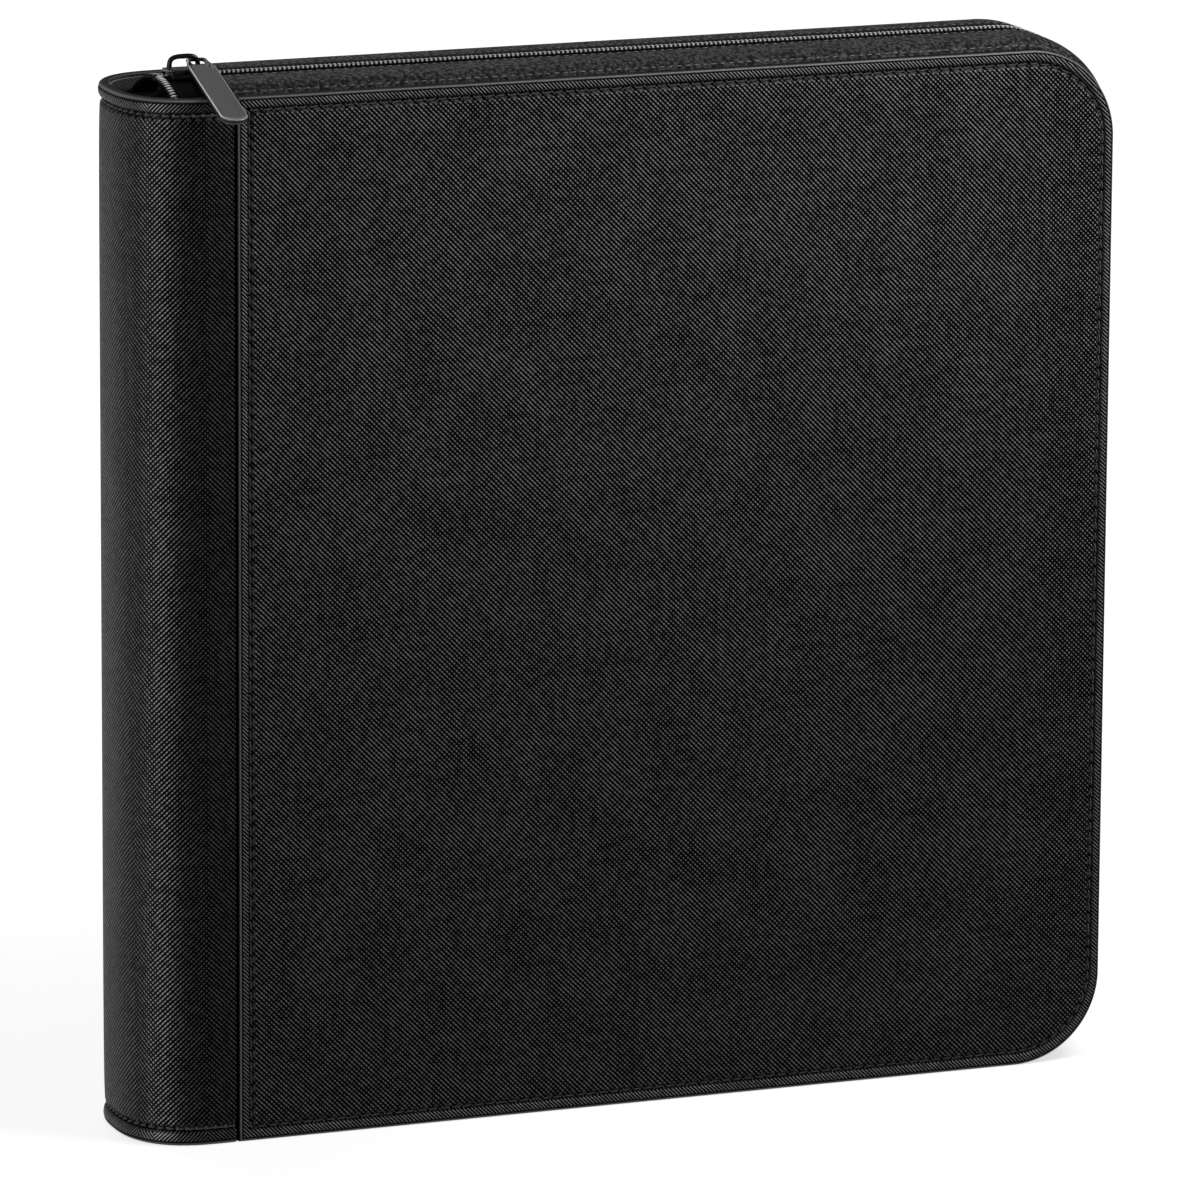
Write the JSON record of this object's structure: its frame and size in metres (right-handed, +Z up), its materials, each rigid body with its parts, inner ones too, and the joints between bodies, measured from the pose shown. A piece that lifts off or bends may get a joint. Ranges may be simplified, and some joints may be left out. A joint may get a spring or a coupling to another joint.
{
  "type": "trading card binder",
  "caption": "Zip-around card binder with padded covers, a rounded spine and hinged pocket leaves; the covers open and the zip slider runs along the top.",
  "frame": {"origin": "bottom centre of the closed binder's box, pull tab included", "axes": "+X from the rounded spine to the fore edge, -Y out of the front cover, +Z up as the binder stands"},
  "size_m": [0.3276, 0.0801, 0.3402],
  "materials": {
    "skin": "cross-grained leather look",
    "board": "grey board",
    "lining": "smooth woven",
    "gusset": "fine grain",
    "tape": "woven tape",
    "coil": "gloss",
    "slider": "satin dark grey",
    "pull": "satin dark grey",
    "pocket_sheet": "satin",
    "binding": "woven"
  },
  "bodies": {
    "spine": {"spine_cover": "skin", "spine_board": "board", "spine_lining": "lining", "page_binding": "binding", "front_top_zip_tail": "tape", "back_top_zip_tail": "tape", "front_bottom_zip_tail": "tape", "back_bottom_zip_tail": "tape"},
    "front_case": {"front_cover": "skin", "front_board": "board", "front_lining": "lining", "front_gusset": "gusset", "front_zip_tape": "tape", "front_zip_coil": "coil"},
    "back_case": {"back_cover": "skin", "back_board": "board", "back_lining": "lining", "back_gusset": "gusset", "back_zip_tape": "tape", "back_zip_coil": "coil"},
    "slider": {"slider_body": "slider", "slider_bail": "slider"},
    "pull": {"pull_tab": "pull"},
    "leaf_01": {"leaf_01": "pocket_sheet"},
    "leaf_02": {"leaf_02": "pocket_sheet"},
    "leaf_03": {"leaf_03": "pocket_sheet"},
    "leaf_04": {"leaf_04": "pocket_sheet"},
    "leaf_05": {"leaf_05": "pocket_sheet"},
    "leaf_06": {"leaf_06": "pocket_sheet"},
    "leaf_07": {"leaf_07": "pocket_sheet"},
    "leaf_08": {"leaf_08": "pocket_sheet"},
    "leaf_09": {"leaf_09": "pocket_sheet"},
    "leaf_10": {"leaf_10": "pocket_sheet"},
    "leaf_11": {"leaf_11": "pocket_sheet"},
    "leaf_12": {"leaf_12": "pocket_sheet"},
    "leaf_13": {"leaf_13": "pocket_sheet"},
    "leaf_14": {"leaf_14": "pocket_sheet"},
    "leaf_15": {"leaf_15": "pocket_sheet"},
    "leaf_16": {"leaf_16": "pocket_sheet"},
    "leaf_17": {"leaf_17": "pocket_sheet"},
    "leaf_18": {"leaf_18": "pocket_sheet"},
    "leaf_19": {"leaf_19": "pocket_sheet"},
    "leaf_20": {"leaf_20": "pocket_sheet"}
  },
  "joints": [
    {"name": "front_cover_hinge", "type": "hinge", "parent": "spine", "child": "front_case", "pos_m": [-0.13232, -0.01601, 0.165], "axis": [0, 0, -1], "range_deg": [0, 90]},
    {"name": "back_cover_hinge", "type": "hinge", "parent": "spine", "child": "back_case", "pos_m": [-0.13232, 0.03999, 0.165], "axis": [0, 0, 1], "range_deg": [0, 90]},
    {"name": "slider_slide", "type": "slide", "parent": "spine", "child": "slider", "axis": [-1, 0, 0], "range_m": [-0.25, 0]},
    {"name": "pull_hinge", "type": "hinge", "parent": "slider", "child": "pull", "pos_m": [-0.13487, 0.01199, 0.33745], "axis": [-0.9954, 0.0958, 0], "range_deg": [0, 50]},
    {"name": "leaf_01_hinge", "type": "hinge", "parent": "spine", "child": "leaf_01", "pos_m": [-0.11983, -0.00891, 0.165], "axis": [0, 0, -1], "range_deg": [0, 75]},
    {"name": "leaf_02_hinge", "type": "hinge", "parent": "spine", "child": "leaf_02", "pos_m": [-0.11983, -0.00671, 0.165], "axis": [0, 0, -1], "range_deg": [0, 71.25]},
    {"name": "leaf_03_hinge", "type": "hinge", "parent": "spine", "child": "leaf_03", "pos_m": [-0.11983, -0.00451, 0.165], "axis": [0, 0, -1], "range_deg": [0, 67.5]},
    {"name": "leaf_04_hinge", "type": "hinge", "parent": "spine", "child": "leaf_04", "pos_m": [-0.11983, -0.00231, 0.165], "axis": [0, 0, -1], "range_deg": [0, 63.75]},
    {"name": "leaf_05_hinge", "type": "hinge", "parent": "spine", "child": "leaf_05", "pos_m": [-0.11983, -0.00011, 0.165], "axis": [0, 0, -1], "range_deg": [0, 60]},
    {"name": "leaf_06_hinge", "type": "hinge", "parent": "spine", "child": "leaf_06", "pos_m": [-0.11983, 0.00209, 0.165], "axis": [0, 0, -1], "range_deg": [0, 56.25]},
    {"name": "leaf_07_hinge", "type": "hinge", "parent": "spine", "child": "leaf_07", "pos_m": [-0.11983, 0.00429, 0.165], "axis": [0, 0, -1], "range_deg": [0, 52.5]},
    {"name": "leaf_08_hinge", "type": "hinge", "parent": "spine", "child": "leaf_08", "pos_m": [-0.11983, 0.00649, 0.165], "axis": [0, 0, -1], "range_deg": [0, 48.75]},
    {"name": "leaf_09_hinge", "type": "hinge", "parent": "spine", "child": "leaf_09", "pos_m": [-0.11983, 0.00869, 0.165], "axis": [0, 0, -1], "range_deg": [0, 45]},
    {"name": "leaf_10_hinge", "type": "hinge", "parent": "spine", "child": "leaf_10", "pos_m": [-0.11983, 0.01089, 0.165], "axis": [0, 0, -1], "range_deg": [0, 41.25]},
    {"name": "leaf_11_hinge", "type": "hinge", "parent": "spine", "child": "leaf_11", "pos_m": [-0.11983, 0.01309, 0.165], "axis": [0, 0, -1], "range_deg": [0, 37.5]},
    {"name": "leaf_12_hinge", "type": "hinge", "parent": "spine", "child": "leaf_12", "pos_m": [-0.11983, 0.01529, 0.165], "axis": [0, 0, -1], "range_deg": [0, 33.75]},
    {"name": "leaf_13_hinge", "type": "hinge", "parent": "spine", "child": "leaf_13", "pos_m": [-0.11983, 0.01749, 0.165], "axis": [0, 0, -1], "range_deg": [0, 30]},
    {"name": "leaf_14_hinge", "type": "hinge", "parent": "spine", "child": "leaf_14", "pos_m": [-0.11983, 0.01969, 0.165], "axis": [0, 0, -1], "range_deg": [0, 26.25]},
    {"name": "leaf_15_hinge", "type": "hinge", "parent": "spine", "child": "leaf_15", "pos_m": [-0.11983, 0.02189, 0.165], "axis": [0, 0, -1], "range_deg": [0, 22.5]},
    {"name": "leaf_16_hinge", "type": "hinge", "parent": "spine", "child": "leaf_16", "pos_m": [-0.11983, 0.02409, 0.165], "axis": [0, 0, -1], "range_deg": [0, 18.75]},
    {"name": "leaf_17_hinge", "type": "hinge", "parent": "spine", "child": "leaf_17", "pos_m": [-0.11983, 0.02629, 0.165], "axis": [0, 0, -1], "range_deg": [0, 15]},
    {"name": "leaf_18_hinge", "type": "hinge", "parent": "spine", "child": "leaf_18", "pos_m": [-0.11983, 0.02849, 0.165], "axis": [0, 0, -1], "range_deg": [0, 11.25]},
    {"name": "leaf_19_hinge", "type": "hinge", "parent": "spine", "child": "leaf_19", "pos_m": [-0.11983, 0.03069, 0.165], "axis": [0, 0, -1], "range_deg": [0, 7.5]},
    {"name": "leaf_20_hinge", "type": "hinge", "parent": "spine", "child": "leaf_20", "pos_m": [-0.11983, 0.03289, 0.165], "axis": [0, 0, -1], "range_deg": [0, 3.75]}
  ],
  "couplings": [
    {"joint": "leaf_01_hinge", "follows": "front_cover_hinge", "ratio": 0.83333},
    {"joint": "leaf_02_hinge", "follows": "front_cover_hinge", "ratio": 0.79167},
    {"joint": "leaf_03_hinge", "follows": "front_cover_hinge", "ratio": 0.75},
    {"joint": "leaf_04_hinge", "follows": "front_cover_hinge", "ratio": 0.70833},
    {"joint": "leaf_05_hinge", "follows": "front_cover_hinge", "ratio": 0.66667},
    {"joint": "leaf_06_hinge", "follows": "front_cover_hinge", "ratio": 0.625},
    {"joint": "leaf_07_hinge", "follows": "front_cover_hinge", "ratio": 0.58333},
    {"joint": "leaf_08_hinge", "follows": "front_cover_hinge", "ratio": 0.54167},
    {"joint": "leaf_09_hinge", "follows": "front_cover_hinge", "ratio": 0.5},
    {"joint": "leaf_10_hinge", "follows": "front_cover_hinge", "ratio": 0.45833},
    {"joint": "leaf_11_hinge", "follows": "front_cover_hinge", "ratio": 0.41667},
    {"joint": "leaf_12_hinge", "follows": "front_cover_hinge", "ratio": 0.375},
    {"joint": "leaf_13_hinge", "follows": "front_cover_hinge", "ratio": 0.33333},
    {"joint": "leaf_14_hinge", "follows": "front_cover_hinge", "ratio": 0.29167},
    {"joint": "leaf_15_hinge", "follows": "front_cover_hinge", "ratio": 0.25},
    {"joint": "leaf_16_hinge", "follows": "front_cover_hinge", "ratio": 0.20833},
    {"joint": "leaf_17_hinge", "follows": "front_cover_hinge", "ratio": 0.16667},
    {"joint": "leaf_18_hinge", "follows": "front_cover_hinge", "ratio": 0.125},
    {"joint": "leaf_19_hinge", "follows": "front_cover_hinge", "ratio": 0.083333},
    {"joint": "leaf_20_hinge", "follows": "front_cover_hinge", "ratio": 0.041666}
  ]
}
